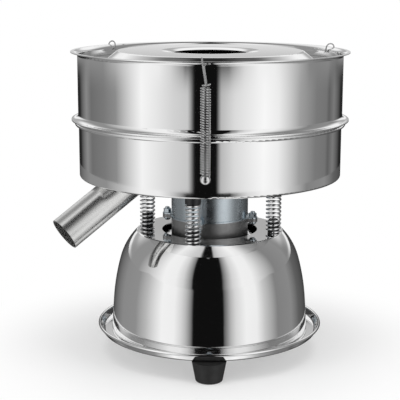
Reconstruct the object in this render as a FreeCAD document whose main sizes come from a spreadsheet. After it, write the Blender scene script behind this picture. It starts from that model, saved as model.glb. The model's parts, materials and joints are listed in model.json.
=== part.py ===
import FreeCAD, Part
import math
import os
import re

import Sketcher

# Vibrating sieve: a spring-borne pan, screen and drum, shaken by an out-of-balance motor.
# +Z is up; the origin is on the central axis, in the plane the feet stand on; -Y is the front.

V = FreeCAD.Vector
UP = V(0, 0, 1)
FULL_TURN = 360
HALF_TURN = 180

# Each size that can be chosen by itself, in millimetres or degrees.
SIZES = [
    # stand
    ("foot_height", 23.2, "rubber foot"),
    ("foot_top_radius", 19.3, "foot, upper end"),
    ("foot_bottom_radius", 15.2, "foot, lower end"),
    ("foot_edge", 2.0, "rounding of the foot's lower edge"),
    ("foot_circle", 120.4, "feet, distance from the central axis"),
    ("foot_bolt", 2.0, "foot bolt, shank radius"),
    ("foot_recess", 8.0, "foot, depth of the recess for the bolt's head"),
    ("tray_radius", 131.6, "tray, outside of its beaded rim"),
    ("tray_depth", 10.0, "tray, outside"),
    ("tray_gauge", 1.2, "tray sheet"),
    ("tray_corner", 4.0, "tray, outside corner radius"),
    ("tray_flare", 25.0, "tray wall, angle from upright"),
    ("tray_bead", 1.6, "radius of the rolled bead"),
    ("bowl_radius", 115.3, "bowl, foot of its wall"),
    ("bowl_height", 118.7, "bowl"),
    ("bowl_mouth", 55.7, "hole that the motor hangs through"),
    ("bowl_gauge", 1.2, "bowl sheet"),
    ("bowl_corner", 2.5, "bowl, corner to its inward flange"),
    ("bowl_flange", 14.0, "bowl, width of the inward flange"),
    ("bowl_lean", 3.65, "bowl wall, angle from upright"),
    ("flank_radius", 245.0, "bowl, upper flank"),
    ("flank_lean", 15.7, "bowl, angle where flank meets shoulder"),
    ("shoulder_radius", 73.0, "bowl, shoulder"),
    ("shoulder_lean", 45.5, "bowl, angle where shoulder meets top edge"),
    ("top_edge", 2.5, "bowl, radius of the top edge"),
    ("base_screw", 2.5, "screws that hold the bowl to the tray, shank radius"),
    # suspension
    ("spring_gap", 65.4, "bowl top to pan bottom"),
    ("spring_circle", 76.0, "springs, distance from the central axis"),
    ("spring_azimuth", -104.0, "front spring, from +X"),
    ("spring_outer", 18.2, "suspension spring, outside diameter"),
    ("spring_wire", 2.2, "suspension spring, wire diameter"),
    ("open_halves", 17, "suspension spring, open half turns"),
    ("end_pitch", 1.1, "suspension spring, pitch of its end half turns in wire diameters"),
    ("seat_drop", 20.5, "upper spring seat, body below the pan"),
    ("seat_spigot", 4.0, "upper spring seat, spigot in the spring"),
    ("seat_post", 15.5, "lower spring seat, post in the spring"),
    ("seat_chamfer", 1.5, "spring seats, chamfer of post and spigot"),
    ("seat_thread", 9.0, "spring seats, depth of the screw hole"),
    ("seat_screw", 2.0, "spring seat screw, shank radius"),
    # pan, screen, drum and lid
    ("sheet_gauge", 1.0, "pan, drum and lid sheet"),
    ("pan_radius", 150.5, "pan, outside of its wall"),
    ("pan_depth", 64.5, "pan"),
    ("pan_corner", 2.5, "pan, outside corner radius"),
    ("pan_curl", 1.75, "pan rim, inner radius of the curl"),
    ("screen_radius", 157.0, "screen ring, outside"),
    ("screen_opening", 143.0, "screen ring, inside"),
    ("screen_gauge", 0.6, "screen ring sheet"),
    ("mesh_gauge", 0.3, "woven wire mesh"),
    ("mesh_radius", 148.9, "mesh, trimmed edge"),
    ("drum_radius", 151.0, "drum, outside of its wall"),
    ("drum_height", 77.2, "drum"),
    ("brim_width", 7.6, "drum, both brims beyond its wall"),
    ("brim_fillet", 6.0, "drum, bend of the lower brim"),
    ("rim_fillet", 4.0, "drum, bend of the upper brim"),
    ("lid_rise", 0.2, "lid top above the drum rim"),
    ("lid_step", 12.0, "lid, plateau above its brim"),
    ("lid_plateau", 104.5, "lid, radius where the plateau ends"),
    ("lid_knee", 5.0, "lid, radius of both knees"),
    ("lid_slope", 37.0, "lid, slope of the step"),
    ("feed_radius", 41.0, "feed hole"),
    ("feed_lip", 15.0, "width of the dished lip round the feed hole"),
    ("feed_lip_radius", 50.0, "curvature of that lip"),
    ("rest_wire", 3.0, "lid rest ring, wire diameter"),
    # discharge spout
    ("spout_outer", 19.0, "spout tube, outside radius"),
    ("spout_wall", 1.5, "spout tube"),
    ("spout_azimuth", 210.6, "spout, from +X"),
    ("spout_slope", 33.1, "spout, below level"),
    ("spout_reach", 184.3, "spout mouth, distance from the central axis"),
    ("spout_drop", 50.9, "spout mouth centre below the pan bottom"),
    # clamp springs
    ("stud_drop", 41.4, "clamp studs below the pan rim"),
    ("stud_radius", 3.0, "clamp stud"),
    ("stud_shank", 2.5, "clamp stud, radius in the pan wall"),
    ("stud_head", 4.3, "clamp stud, radius of its head"),
    ("stud_dome", 1.6, "clamp stud, rise of its domed head"),
    ("stud_edge", 1.0, "clamp stud, straight edge of its head"),
    ("stud_collar", 2.0, "clamp stud, thickness of its collar"),
    ("rivet_lip", 2.0, "clamp stud, riveted end beyond its shank"),
    ("rivet_head", 1.2, "clamp stud, thickness of the riveted end"),
    ("clamp_circle", 164.6, "clamp spring axis, from the central axis"),
    ("clamp_outer", 10.7, "clamp spring, outside diameter"),
    ("clamp_wire", 1.5, "clamp spring, wire diameter"),
    ("clamp_turns", 34, "clamp spring, turns"),
    ("clamp_leg", 23.6, "clamp spring, top of its coil below the drum rim"),
    ("clamp_lean", 9.5, "clamp spring, sideways lean of the hooked leg"),
    ("hook_rise", 3.3, "hook, inside of its arch above the rim"),
    ("hook_tail", 3.0, "hook, straight end inside the rim"),
    # motor
    ("motor_radius", 44.7, "motor, outside"),
    ("can_height", 50.0, "weight cover above the motor"),
    ("can_gauge", 1.5, "weight cover sheet"),
    ("can_lip", 1.6, "weight cover, width of its lip"),
    ("housing_height", 88.5, "motor housing"),
    ("housing_wall", 3.2, "motor housing"),
    ("ear_circle", 51.5, "motor ears, distance from the axis"),
    ("ear_radius", 5.5, "motor ears"),
    ("ear_thickness", 4.0, "motor ears"),
    ("motor_stud", 2.5, "studs through the ears, radius"),
    ("web", 6.5, "end wall of the housing"),
    ("lug_circle", 49.2, "lower lugs, distance from the axis"),
    ("lug_radius", 4.5, "lower lugs"),
    ("lug_thickness", 6.0, "lower lugs and end shield"),
    ("lug_screw", 2.0, "end shield screws, radius"),
    ("mount_circle", 33.0, "motor mounting screws, distance from the axis"),
    ("mount_screw", 3.0, "motor mounting screws, radius"),
    ("bearing_outer", 16.0, "ball bearing"),
    ("bearing_width", 10.0, "ball bearing"),
    ("bearing_cover", 2.5, "lip that holds a bearing in"),
    ("boss_wall", 5.0, "wall round a bearing"),
    ("journal", 6.0, "shaft radius in the bearings"),
    ("shaft_core", 8.0, "shaft radius in the rotor"),
    ("shaft_above", 37.5, "shaft above the motor joint"),
    ("shaft_below", 30.0, "shaft below the housing"),
    ("air_gap", 0.4, "rotor to stator"),
    ("stator_bore", 26.0, "stator"),
    ("stack", 44.0, "length of the laminations"),
    ("stack_level", 18.0, "laminations above the housing's lower edge"),
    ("winding_height", 10.0, "end windings"),
    ("end_ring", 5.0, "rotor end rings"),
    ("weight_radius", 36.0, "eccentric weights"),
    ("weight_hub", 12.0, "eccentric weights, hub"),
    ("upper_weight", 18.0, "upper eccentric weight, thickness"),
    ("lower_weight", 14.0, "lower eccentric weight, thickness"),
    # fittings in the bowl wall and on the tray
    ("port_height", 44.0, "switch and gland above the ground"),
    ("port_drill", 6.0, "reach of their holes either side of the bowl's wall"),
    ("switch_azimuth", 98.0, "switch, from +X"),
    ("gland_azimuth", 82.0, "cord gland, from +X"),
    ("switch_barrel", 10.0, "switch, barrel radius"),
    ("switch_depth", 16.0, "switch, behind the wall"),
    ("rocker_radius", 7.3, "rocker"),
    ("rocker_tilt", 8.0, "rocker, angle at rest"),
    ("pivot_radius", 1.2, "rocker pivot"),
    ("pivot_reach", 0.8, "rocker pivot, beyond the rocker's gap"),
    ("gland_thread", 6.0, "gland, thread radius"),
    ("gland_bore", 3.6, "gland, cord hole"),
    ("capacitor_radius", 15.0, "run capacitor"),
    ("capacitor_height", 50.0, "run capacitor"),
    ("capacitor_circle", 84.0, "run capacitor, distance from the axis"),
    # clearances
    ("hole_play", 0.2, "screw in its hole"),
    ("running_play", 0.05, "shaft in a bearing"),
    ("rivet_play", 0.1, "riveted end of a stud off the pan wall"),
    ("seat_play", 0.3, "spring on its seat, loop on its stud"),
    ("screen_play", 0.1, "screen between pan and drum"),
    ("rocker_play", 0.8, "rocker in its bezel, all round"),
    ("pivot_play", 0.1, "rocker pivot in its sockets"),
    ("lid_play", 1.2, "lid in the drum, all round"),
    ("lid_lift_play", 0.2, "lid on its rest ring"),
]

# Levels and radii that follow from the sizes above.
WORKED_OUT = {
    "tray_floor": "foot_height + tray_gauge",
    "tray_top": "foot_height + tray_depth",
    "bowl_top": "tray_floor + bowl_height",
    "bowl_plate": "bowl_top - bowl_gauge",
    "pan_bottom": "bowl_top + spring_gap",
    "pan_floor": "pan_bottom + sheet_gauge",
    "pan_rim": "pan_bottom + pan_depth",
    "screen_bottom": "pan_rim + screen_play",
    "drum_bottom": "screen_bottom + screen_gauge + screen_play",
    "drum_top": "drum_bottom + drum_height",
    "drum_brim": "drum_radius + brim_width",
    "lid_top": "drum_top + lid_rise",
    "lid_brim": "lid_top - lid_step",
    "lid_radius": "drum_radius - sheet_gauge - lid_play",
    "motor_joint": "pan_bottom - can_height",
    "housing_bottom": "motor_joint - housing_height",
    "housing_bore": "motor_radius - housing_wall",
    "upper_bearing_level": "motor_joint - bearing_cover - bearing_width",
    "lower_bearing_level": "housing_bottom - 8",
    "boss_radius": "bearing_outer + boss_wall",
    "stack_bottom": "housing_bottom + stack_level",
    "spring_mean": "(spring_outer - spring_wire) / 2",
    "seat_post_radius": "spring_outer / 2 - spring_wire - seat_play",
    "stud_level": "pan_rim - stud_drop",
    "clamp_mean": "(clamp_outer - clamp_wire) / 2",
    "hook_mean": "(brim_width + sheet_gauge + clamp_wire) / 2 + seat_play",
    "wall_foot": "tray_floor + bowl_corner * (1 + sin(bowl_lean))",
    "port_radius": "bowl_radius - (port_height - wall_foot) * tan(bowl_lean)",
    "rocker_well": "rocker_radius + rocker_play",
}

SPRINGS = (("front", 0), ("right", 90), ("rear", 180), ("left", 270))
CLAMPS = (("front", 268.4), ("right", 24.0), ("left", 142.5))
FEET = (("front", 270), ("right", 30), ("left", 150))
BASE_SCREW_AZIMUTHS = (90, 210, 330)
CAPACITOR_AZIMUTH = 200

doc = FreeCAD.newDocument("vibrating_sieve")
sheet = doc.addObject("Spreadsheet::Sheet", "sizes")
for row, (alias, value, note) in enumerate(SIZES, start=1):
    sheet.set(f"A{row}", note)
    sheet.set(f"B{row}", str(value))
    sheet.setAlias(f"B{row}", alias)
doc.recompute()
ALIASES = {alias for alias, _, _ in SIZES}
NODES = []


# ---------------------------------------------------------------- sizes and places

def spelled(text):
    """A size expression with every name written as a cell of the sheet."""
    def cell(match):
        word = match.group(0)
        if word in WORKED_OUT:
            return f"({spelled(WORKED_OUT[word])})"
        return f"sizes.{word}" if word in ALIASES else word
    return re.sub(r"[a-z][a-z_0-9]*", cell, str(text))


def size(text):
    """The present value of a size expression."""
    value = sheet.evalExpression(spelled(text))
    return float(getattr(value, "Value", value))


def bind(obj, **properties):
    """Tie properties of an object to size expressions."""
    for name, text in properties.items():
        obj.setExpression(name, spelled(text))
    return obj


def place(obj, radius="0", azimuth="0", level="0", rotation=None, twist=0):
    """Put an object at a radius, azimuth and level, all of them size expressions."""
    turn = rotation or FreeCAD.Rotation(UP, size(azimuth) + twist)
    obj.Placement = FreeCAD.Placement(V(), turn)
    obj.setExpression("Placement.Base.x", spelled(f"({radius}) * cos({azimuth})"))
    obj.setExpression("Placement.Base.y", spelled(f"({radius}) * sin({azimuth})"))
    obj.setExpression("Placement.Base.z", spelled(level))
    return obj


def outward(azimuth, climb=0.0):
    """Rotation that turns +Z to point away from the axis, climb degrees above level."""
    turn = FreeCAD.Rotation(UP, azimuth)
    return turn.multiply(FreeCAD.Rotation(V(0, 1, 0), 90 - climb))


def node(obj, label):
    """Enter a finished sub-part under the name of its file."""
    obj.Label = label
    NODES.append(obj)
    return obj


# ---------------------------------------------------------------- sketches and solids

def pin(sketch, geometry, point, along, text):
    """Fix one coordinate of a sketch point to a size expression."""
    value = size(text)
    if abs(value) < 1e-9:
        axis = -2 if along == "X" else -1
        sketch.addConstraint(Sketcher.Constraint("PointOnObject", geometry, point, axis))
        return
    kind = "Distance" + along
    index = sketch.addConstraint(Sketcher.Constraint(kind, -1, 1, geometry, point, value))
    sketch.setExpression(f"Constraints[{index}]", spelled(text))


def draw(sketch, start, steps, closed=True):
    """Draw an outline of lines (x, y) and arcs (x, y, centre x, centre y, way round)."""
    here = start
    tail = None
    if closed:
        steps = steps + [start]
    for step in steps:
        end = step[:2]
        first = V(size(here[0]), size(here[1]), 0)
        last = V(size(end[0]), size(end[1]), 0)
        if len(step) == 2:
            index = sketch.addGeometry(Part.LineSegment(first, last), False)
            begin_point, end_point = 1, 2
        else:
            centre = V(size(step[2]), size(step[3]), 0)
            circle = Part.Circle(centre, UP, (first - centre).Length)
            from_angle = math.atan2(first.y - centre.y, first.x - centre.x)
            to_angle = math.atan2(last.y - centre.y, last.x - centre.x)
            begin_point, end_point = 1, 2
            if step[4] == "right":
                from_angle, to_angle = to_angle, from_angle
                begin_point, end_point = 2, 1
            index = sketch.addGeometry(Part.ArcOfCircle(circle, from_angle, to_angle), False)
            chord = last - first
            if abs(chord.y) > abs(chord.x):
                pin(sketch, index, 3, "X", step[2])
            else:
                pin(sketch, index, 3, "Y", step[3])
        if tail is None:
            head = (index, begin_point)
            pin(sketch, index, begin_point, "X", here[0])
            pin(sketch, index, begin_point, "Y", here[1])
        else:
            sketch.addConstraint(Sketcher.Constraint("Coincident", *tail, index, begin_point))
        if closed and step is steps[-1]:
            sketch.addConstraint(Sketcher.Constraint("Coincident", index, end_point, *head))
        else:
            pin(sketch, index, end_point, "X", end[0])
            pin(sketch, index, end_point, "Y", end[1])
        tail = (index, end_point)
        here = end


def body_sketch(body, plane, name, level=None):
    """An empty sketch on one of a body's own origin planes."""
    sketch = body.newObject("Sketcher::SketchObject", name)
    origin = [item for item in body.Origin.OriginFeatures if item.Role == plane]
    sketch.AttachmentSupport = [(origin[0], "")]
    sketch.MapMode = "FlatFace"
    if level is not None:
        sketch.setExpression("AttachmentOffset.Base.z", spelled(level))
    return sketch


def turned(name, start, steps):
    """A body turned about its Z axis from one half section of (radius, level) corners."""
    body = doc.addObject("PartDesign::Body", name)
    sketch = body_sketch(body, "XZ_Plane", name + "_section")
    draw(sketch, start, steps)
    doc.recompute()
    turn = body.newObject("PartDesign::Revolution", name + "_turn")
    turn.Profile = sketch
    turn.ReferenceAxis = (sketch, ["V_Axis"])
    turn.Angle = FULL_TURN
    doc.recompute()
    return body


def spun(name, start, steps, gauge):
    """Spun sheet: a line of its outer face, thickened to its left and turned about Z."""
    line = doc.addObject("Sketcher::SketchObject", name + "_line")
    line.Placement = FreeCAD.Placement(V(), FreeCAD.Rotation(V(1, 0, 0), 90))
    draw(line, start, steps, closed=False)
    doc.recompute()
    section = doc.addObject("Part::Offset2D", name + "_section")
    section.Source = line
    section.Mode = "Skin"
    section.Join = "Intersection"
    section.Fill = True
    bind(section, Value=gauge)
    turn = doc.addObject("Part::Revolution", name + "_spun")
    turn.Source = section
    turn.Axis = UP
    turn.Angle = FULL_TURN
    turn.Solid = True
    doc.recompute()
    return turn


def cut(name, base, tools):
    """A Part cut of one object by several."""
    if len(tools) == 1:
        tool = tools[0]
    else:
        tool = doc.addObject("Part::MultiFuse", name + "_tools")
        tool.Shapes = tools
    result = doc.addObject("Part::Cut", name)
    result.Base = base
    result.Tool = tool
    doc.recompute()
    return result


def group(name, members):
    """Separate solids that share one node."""
    result = doc.addObject("Part::Compound", name)
    result.Links = members
    return result


def cylinder(name, radius, height):
    return bind(doc.addObject("Part::Cylinder", name), Radius=radius, Height=height)


def drills(name, radius, circle, azimuths, level, length):
    """Upright drills on a circle."""
    tools = []
    for azimuth in azimuths:
        drill = cylinder(name + "_drill", radius, length)
        tools.append(place(drill, circle, azimuth, level))
    return tools


def screw(name, shank, length, head, head_height):
    """A round-headed screw standing on its thread's end, head up, origin under the head."""
    return turned(name, ("0", f"-({length})"), [
        (shank, f"-({length})"),
        (shank, "0"),
        (head, "0"),
        (head, f"({head_height}) / 2"),
        (f"({head}) * 0.6", head_height),
        ("0", head_height),
    ])


def nut(name, bore, across, height):
    """A hexagon nut standing on its origin."""
    hexagon = doc.addObject("Part::Prism", name + "_hexagon")
    hexagon.Polygon = 6
    bind(hexagon, Circumradius=f"({across}) / 2 / cos(30)", Height=height)
    hole = cylinder(name + "_hole", bore, height)
    return cut(name, hexagon, [hole])


def on_circle(name, make, circle, azimuths, level, rotation=None, twist=0):
    """One group of equal pieces, made one by one and set round the axis."""
    members = []
    for azimuth in azimuths:
        members.append(place(make(), circle, azimuth, level, rotation, twist))
    return group(name, members)


def lugs(body, name, circle, radius, hole, root, level, thickness, count, first):
    """Round-ended lugs with a hole each, in a polar pattern about the body's axis."""
    sketch = body_sketch(body, "XY_Plane", name + "_outline", level)
    sketch.AttachmentOffset = FreeCAD.Placement(V(), FreeCAD.Rotation(UP, size(first)))
    sketch.setExpression("AttachmentOffset.Base.z", spelled(level))
    draw(sketch, (root, f"-({radius})"), [
        (circle, f"-({radius})"),
        (circle, radius, circle, "0", "left"),
        (root, radius),
    ])
    eye = sketch.addGeometry(Part.Circle(V(size(circle), 0, 0), UP, size(hole)), False)
    pin(sketch, eye, 3, "X", circle)
    pin(sketch, eye, 3, "Y", "0")
    index = sketch.addConstraint(Sketcher.Constraint("Radius", eye, size(hole)))
    sketch.setExpression(f"Constraints[{index}]", spelled(hole))
    doc.recompute()
    pad = body.newObject("PartDesign::Pad", name)
    pad.Profile = sketch
    bind(pad, Length=thickness)
    doc.recompute()
    ring = body.newObject("PartDesign::PolarPattern", name + "_ring")
    ring.Originals = [pad]
    ring.Axis = ([item for item in body.Origin.OriginFeatures if item.Role == "Z_Axis"][0], [""])
    ring.Angle = FULL_TURN
    ring.Occurrences = count
    body.Tip = ring
    doc.recompute()


# ---------------------------------------------------------------- bent wire

def wire_path(points, bend):
    """Straight runs through the points, joined by tangent arcs of one radius."""
    edges = []
    here = points[0]
    for before, corner, after in zip(points, points[1:], points[2:]):
        back = (before - corner).normalize()
        ahead = (after - corner).normalize()
        half_angle = back.getAngle(ahead) / 2
        setback = bend / math.tan(half_angle)
        start = corner + back * setback
        end = corner + ahead * setback
        bisector = (back + ahead).normalize()
        middle = corner + bisector * (bend / math.sin(half_angle) - bend)
        edges.append(Part.LineSegment(here, start).toShape())
        edges.append(Part.Arc(start, middle, end).toShape())
        here = end
    edges.append(Part.LineSegment(here, points[-1]).toShape())
    return Part.Wire(edges)


def swept_wire(path, radius):
    """A round wire along a path."""
    edge = path.OrderedEdges[0]
    start = edge.valueAt(edge.FirstParameter)
    tangent = edge.tangentAt(edge.FirstParameter)
    section = Part.Wire([Part.Circle(start, tangent, radius).toShape()])
    return path.makePipeShell([section], True, False)


def coil(mean, wire_radius, rises):
    """A coil of half turns, each a planar arc that climbs by its own rise; it starts at +X."""
    faces = []
    level = 0.0
    side = 1
    for rise in rises:
        section = Part.Wire([Part.Circle(V(side * mean, 0, level), V(0, 1, 0), wire_radius).toShape()])
        across = V(-2 * side * mean, 0, rise)
        axis = across.cross(V(0, side, 0)).normalize()
        faces += section.revolve(V(0, 0, level + rise / 2), axis, HALF_TURN).Faces
        level += rise
        side = -side
    for end_side, end_level in ((1, 0.0), (side, level)):
        rim = Part.Circle(V(end_side * mean, 0, end_level), V(0, 1, 0), wire_radius).toShape()
        faces.append(Part.Face(Part.Wire([rim])))
    shell = Part.Shell(faces)
    shell.sewShape()
    return Part.Solid(shell)


def wire_feature(name, shape, placement):
    """A wire form set from Part's own functions, then placed."""
    feature = doc.addObject("Part::Feature", name)
    feature.Shape = shape
    feature.Placement = placement
    return feature


# ---------------------------------------------------------------- stand

def make_tray():
    """Shallow spun tray with a flared wall and a rolled bead round its rim."""
    bead_radius = "(tray_radius - tray_bead)"
    bead_level = "(tray_top - tray_bead)"
    corner_rise = "tray_corner * (1 - sin(tray_flare))"
    corner_run = "tray_corner * cos(tray_flare)"
    run = f"({bead_level} - foot_height - {corner_rise}) * tan(tray_flare)"
    flat = f"({bead_radius} - {run} - {corner_run})"
    dish = spun("tray", ("0", "foot_height"), [
        (flat, "foot_height"),
        (f"{flat} + {corner_run}", f"foot_height + {corner_rise}",
         flat, "foot_height + tray_corner", "left"),
        (bead_radius, bead_level),
    ], "tray_gauge")
    bead = doc.addObject("Part::Torus", "tray_rim_bead")
    bind(bead, Radius1=bead_radius, Radius2="tray_bead")
    place(bead, level=bead_level)
    whole = doc.addObject("Part::Fuse", "tray_with_bead")
    whole.Base = dish
    whole.Tool = bead
    below = "foot_height - 1"
    holes = drills("foot_hole", "foot_bolt + hole_play", "foot_circle",
                   [azimuth for _, azimuth in FEET], below, "tray_gauge + 2")
    holes += drills("base_hole", "base_screw + hole_play", "bowl_radius - bowl_flange / 2",
                    BASE_SCREW_AZIMUTHS, below, "tray_gauge + 2")
    holes += drills("capacitor_hole", "base_screw + hole_play", "capacitor_circle",
                    [CAPACITOR_AZIMUTH], below, "tray_gauge + 2")
    node(cut("tray_drilled", whole, holes), "base_tray")


def make_bowl():
    """Inverted spun bowl: flange, leaning wall, flank, shoulder, edge and flat top."""
    corner_centre = "(bowl_radius - bowl_corner * cos(bowl_lean))"
    flank_rise = "flank_radius * (sin(flank_lean) - sin(bowl_lean))"
    flank_run = "flank_radius * (cos(bowl_lean) - cos(flank_lean))"
    shoulder_rise = "shoulder_radius * (sin(shoulder_lean) - sin(flank_lean))"
    shoulder_run = "shoulder_radius * (cos(flank_lean) - cos(shoulder_lean))"
    edge_rise = "top_edge * (1 - sin(shoulder_lean))"
    edge_run = "top_edge * cos(shoulder_lean)"
    edge_start = f"(bowl_top - {edge_rise})"
    shoulder_start = f"({edge_start} - {shoulder_rise})"
    flank_start = f"({shoulder_start} - {flank_rise})"
    wall_top = f"(bowl_radius - ({flank_start} - wall_foot) * tan(bowl_lean))"
    flank_top = f"({wall_top} - {flank_run})"
    shoulder_top = f"({flank_top} - {shoulder_run})"
    plate = f"({shoulder_top} - {edge_run})"
    shell = spun("bowl", ("bowl_radius - bowl_flange", "tray_floor"), [
        (corner_centre, "tray_floor"),
        ("bowl_radius", "wall_foot", corner_centre, "tray_floor + bowl_corner", "left"),
        (wall_top, flank_start),
        (flank_top, shoulder_start, f"{wall_top} - flank_radius * cos(bowl_lean)",
         f"{flank_start} - flank_radius * sin(bowl_lean)", "left"),
        (shoulder_top, edge_start, f"{flank_top} - shoulder_radius * cos(flank_lean)",
         f"{shoulder_start} - shoulder_radius * sin(flank_lean)", "left"),
        (plate, "bowl_top", plate, "bowl_top - top_edge", "left"),
        ("bowl_mouth", "bowl_top"),
    ], "bowl_gauge")
    holes = drills("base_hole", "base_screw + hole_play", "bowl_radius - bowl_flange / 2",
                   BASE_SCREW_AZIMUTHS, "tray_floor - 1", "bowl_gauge + 2")
    holes += drills("seat_hole", "seat_screw + hole_play", "spring_circle",
                    spring_azimuths(), "bowl_top - bowl_gauge - 1", "bowl_gauge + 2")
    for name, azimuth, radius in (("switch_port", "switch_azimuth", "switch_barrel + hole_play"),
                                  ("gland_port", "gland_azimuth", "gland_thread + hole_play")):
        drill = cylinder(name, radius, "2 * port_drill")
        turn = outward(size(azimuth), size("bowl_lean"))
        holes.append(place(drill, "port_radius - port_drill * cos(bowl_lean)", azimuth,
                           "port_height - port_drill * sin(bowl_lean)", turn))
    node(cut("bowl_drilled", shell, holes), "base_bowl")


def make_feet():
    """Three tapered rubber feet, each with a recess below for its bolt's head."""
    for side, azimuth in FEET:
        name = "foot_" + side
        body = turned(name, ("foot_bolt + hole_play", "foot_recess"), [
            ("foot_bolt * 2.4", "foot_recess"),
            ("foot_bolt * 2.4", "0"),
            ("foot_bottom_radius - foot_edge", "0"),
            ("foot_bottom_radius", "foot_edge",
             "foot_bottom_radius - foot_edge", "foot_edge", "left"),
            ("foot_top_radius", "foot_height"),
            ("foot_bolt + hole_play", "foot_height"),
        ])
        node(place(body, "foot_circle", azimuth), "rubber_" + name)


def make_base_fasteners():
    """Bolts through the feet, and screws that hold the bowl to the tray."""
    over = FreeCAD.Rotation(V(1, 0, 0), HALF_TURN)
    foot_azimuths = [azimuth for _, azimuth in FEET]
    bolts = on_circle("foot_bolts", lambda: screw(
        "foot_bolt_body", "foot_bolt", "foot_height - foot_recess + tray_gauge + 5",
        "foot_bolt * 2", "2.5"), "foot_circle", foot_azimuths, "foot_recess", over)
    node(bolts, "foot_bolts")
    nuts = on_circle("foot_nuts", lambda: nut("foot_nut", "foot_bolt", "foot_bolt * 3.5", "3.2"),
                     "foot_circle", foot_azimuths, "tray_floor", twist=30)
    node(nuts, "foot_nuts")
    flange_circle = "bowl_radius - bowl_flange / 2"
    screws = on_circle("base_screws", lambda: screw(
        "base_screw_body", "base_screw", "tray_gauge + bowl_gauge + 5", "base_screw * 1.9", "2.8"),
        flange_circle, BASE_SCREW_AZIMUTHS, "foot_height", over)
    node(screws, "base_screws")
    nuts = on_circle("base_nuts", lambda: nut("base_nut", "base_screw", "8", "4"),
                     flange_circle, BASE_SCREW_AZIMUTHS, "tray_floor + bowl_gauge")
    node(nuts, "base_nuts")


# ---------------------------------------------------------------- suspension

def spring_azimuths():
    return [size("spring_azimuth") + turn for _, turn in SPRINGS]


def make_seat(name, shoulder, post):
    """A spring seat standing on z = 0, with a chamfered post and a blind hole for its screw."""
    top = f"({shoulder} + {post})"
    outline = [
        ("seat_post_radius", shoulder),
        ("seat_post_radius", f"{top} - seat_chamfer"),
        ("seat_post_radius - seat_chamfer", top),
        ("0", top),
        ("0", "seat_thread"),
        ("seat_screw", "seat_thread"),
    ]
    if shoulder != "0":
        outline = [("spring_outer / 2", "0"), ("spring_outer / 2", shoulder)] + outline
    return turned(name, ("seat_screw", "0"), outline)


def make_suspension():
    """Four coil springs between black seats screwed to the bowl and to the pan."""
    over = FreeCAD.Rotation(V(1, 0, 0), HALF_TURN)
    azimuths = spring_azimuths()
    lower = on_circle("lower_seats", lambda: make_seat("lower_seat", "0", "seat_post"),
                      "spring_circle", azimuths, "bowl_top")
    node(lower, "spring_seats_lower")
    upper = on_circle("upper_seats", lambda: make_seat("upper_seat", "seat_drop", "seat_spigot"),
                      "spring_circle", azimuths, "pan_bottom", over)
    node(upper, "spring_seats_upper")
    length = "seat_thread - 1"
    lower = on_circle("lower_seat_screws", lambda: screw(
        "lower_seat_screw", "seat_screw", f"{length} + bowl_gauge", "seat_screw * 1.9", "2.4"),
        "spring_circle", azimuths, "bowl_plate", over)
    node(lower, "seat_screws_lower")
    upper = on_circle("upper_seat_screws", lambda: screw(
        "upper_seat_screw", "seat_screw", f"{length} + sheet_gauge", "seat_screw * 1.9", "2.4"),
        "spring_circle", azimuths, "pan_floor")
    node(upper, "seat_screws_upper")
    wire = size("spring_wire")
    travel = size("spring_gap - seat_drop - 2 * seat_play") - wire
    end_rise = wire * size("end_pitch") / 2
    open_halves = round(size("open_halves"))
    open_rise = (travel - 2 * end_rise) / open_halves
    shape = coil(size("spring_mean"), wire / 2, [end_rise] + [open_rise] * open_halves + [end_rise])
    level = size("bowl_top + seat_play") + wire / 2
    for side, turn in SPRINGS:
        azimuth = size("spring_azimuth") + turn
        place_at = FreeCAD.Placement(
            FreeCAD.Rotation(UP, azimuth).multVec(V(size("spring_circle"), 0, level)),
            FreeCAD.Rotation(UP, azimuth - 90))
        feature = wire_feature("spring_" + side, shape.copy(), place_at)
        node(feature, "suspension_spring_" + side)


# ---------------------------------------------------------------- pan, screen, drum and lid

def pan_line():
    """Corners of the pan's outer face, from its floor to the end of its curled rim."""
    curl_centre = "(pan_radius + pan_curl)"
    curl_level = "(pan_rim - pan_curl - sheet_gauge)"
    return [
        ("pan_radius - pan_corner", "pan_bottom"),
        ("pan_radius", "pan_bottom + pan_corner",
         "pan_radius - pan_corner", "pan_bottom + pan_corner", "left"),
        ("pan_radius", curl_level),
        ("pan_radius + 2 * pan_curl", curl_level, curl_centre, curl_level, "right"),
        (curl_centre, f"{curl_level} - pan_curl", curl_centre, curl_level, "right"),
    ]


def spout_tube(name, radius, extra):
    """A cylinder along the spout, from its mouth towards the pan."""
    tube = cylinder(name, radius, f"(spout_reach - pan_radius / 2) / cos(spout_slope) + {extra}")
    turn = FreeCAD.Rotation(UP, size("spout_azimuth"))
    turn = turn.multiply(FreeCAD.Rotation(V(0, 1, 0), size("spout_slope") - 90))
    return place(tube, "spout_reach", "spout_azimuth", "pan_bottom - spout_drop", turn)


def make_pan():
    """Spun pan with a curled rim, drilled for studs and screws and open to the spout."""
    pan = spun("pan", ("0", "pan_bottom"), pan_line(), "sheet_gauge")
    below = "pan_bottom - 1"
    through = "sheet_gauge + 2"
    holes = drills("mount_hole", "mount_screw + hole_play", "mount_circle",
                   mount_azimuths(), below, through)
    holes += drills("seat_hole", "seat_screw + hole_play", "spring_circle",
                    spring_azimuths(), below, through)
    for _, azimuth in CLAMPS:
        drill = cylinder("stud_hole", "stud_shank + hole_play", "6")
        holes.append(place(drill, "pan_radius - 3", azimuth, "stud_level", outward(azimuth)))
    holes.append(spout_tube("outlet", "spout_outer - spout_wall", "20"))
    node(cut("pan_drilled", pan, holes), "sieve_pan")


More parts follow.
